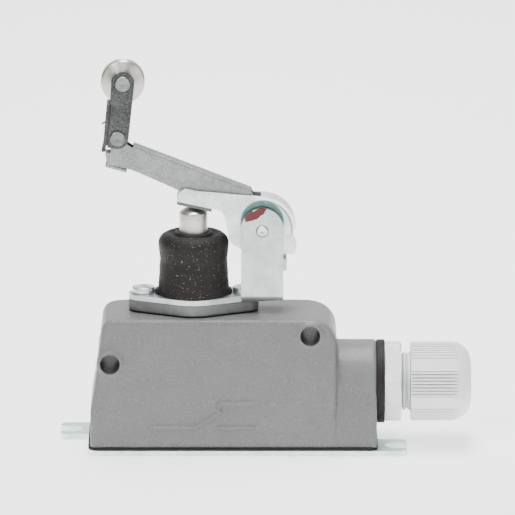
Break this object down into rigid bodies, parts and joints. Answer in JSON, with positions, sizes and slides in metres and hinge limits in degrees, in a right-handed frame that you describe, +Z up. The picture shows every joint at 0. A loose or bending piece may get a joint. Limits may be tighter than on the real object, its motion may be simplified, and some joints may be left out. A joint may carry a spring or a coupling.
{
  "type": "limit switch",
  "caption": "Cast limit switch with a rubber-booted plunger, a pivoted lever with a folding one-way roller link, a slotted base plate and a cable gland.",
  "frame": {"origin": "middle of the base plate's main rectangle, on its mounting face", "axes": "+X towards the cable gland, +Y away from the face that carries the embossing, +Z up out of the mounting face"},
  "size_m": [0.1172, 0.0316, 0.1118],
  "materials": {
    "cast_paint": "satin orange-peel paint",
    "cast_bare": "matt casting",
    "zinc": "bright zinc plate",
    "zinc_grain": "grainy zinc plate",
    "dark_steel": "dark grainy plate",
    "turned_steel": "turned",
    "black_rubber": "matt",
    "gland_plastic": "satin",
    "block_plastic": "moulded",
    "rod_plastic": "moulded",
    "brass": "turned",
    "spring_steel": "drawn wire"
  },
  "bodies": {
    "body": {"base_plate": "zinc", "base_gasket": "black_rubber", "base_screws": "zinc", "housing": "cast_paint", "head_gasket": "black_rubber", "head_flange": "cast_bare", "lever_bracket": "zinc", "head_screws": "zinc", "guide_bush": "brass", "boot": "black_rubber", "pivot_pin": "zinc", "contact_block": "block_plastic", "nc_contacts": "brass", "no_contacts": "brass", "terminal_screws": "zinc", "block_screws": "zinc", "earth_screw": "brass", "return_spring": "spring_steel", "gland_washer": "black_rubber", "gland_body": "gland_plastic", "gland_seal": "black_rubber", "gland_claw": "gland_plastic", "gland_nut": "gland_plastic"},
    "plunger": {"plunger": "turned_steel", "plunger_collar": "zinc", "push_rod": "rod_plastic", "rod_clip": "spring_steel", "upper_spring": "spring_steel", "lower_spring": "spring_steel"},
    "bridge": {"contact_bridge": "brass", "bridge_contacts": "turned_steel"},
    "lever": {"hub_lever": "zinc", "lever_arm": "zinc_grain", "arm_rivets": "zinc", "link_rivet": "dark_steel"},
    "link": {"roller_link": "dark_steel", "link_spring": "spring_steel", "roller_pin": "dark_steel"},
    "roller": {"roller": "turned_steel"}
  },
  "joints": [
    {"name": "lever_pivot", "type": "hinge", "parent": "body", "child": "lever", "pos_m": [0.0083, 0, 0.0632], "axis": [0, -1, 0], "range_deg": [0, 14], "stiffness_Nm_per_rad": 0.5, "springref_deg": -17.19},
    {"name": "plunger_slide", "type": "slide", "parent": "body", "child": "plunger", "axis": [0, 0, -1], "range_m": [0, 0.00485], "deforming": ["boot", "return_spring"]},
    {"name": "bridge_slide", "type": "slide", "parent": "body", "child": "bridge", "axis": [0, 0, -1], "range_m": [0, 0.0036], "deforming": ["upper_spring", "lower_spring"]},
    {"name": "link_pivot", "type": "hinge", "parent": "lever", "child": "link", "pos_m": [-0.0326, 0, 0.0898], "axis": [0, 1, 0], "range_deg": [0, 65], "stiffness_Nm_per_rad": 0.01, "springref_deg": -28.65},
    {"name": "roller_spin", "type": "hinge", "parent": "link", "child": "roller", "pos_m": [-0.0311, 0, 0.10563], "axis": [0, 1, 0], "continuous": true}
  ],
  "couplings": [
    {"joint": "plunger_slide", "follows": "lever_pivot", "m_per_rad": 0.0195},
    {"joint": "bridge_slide", "follows": "lever_pivot", "m_per_rad": 0.0147}
  ]
}
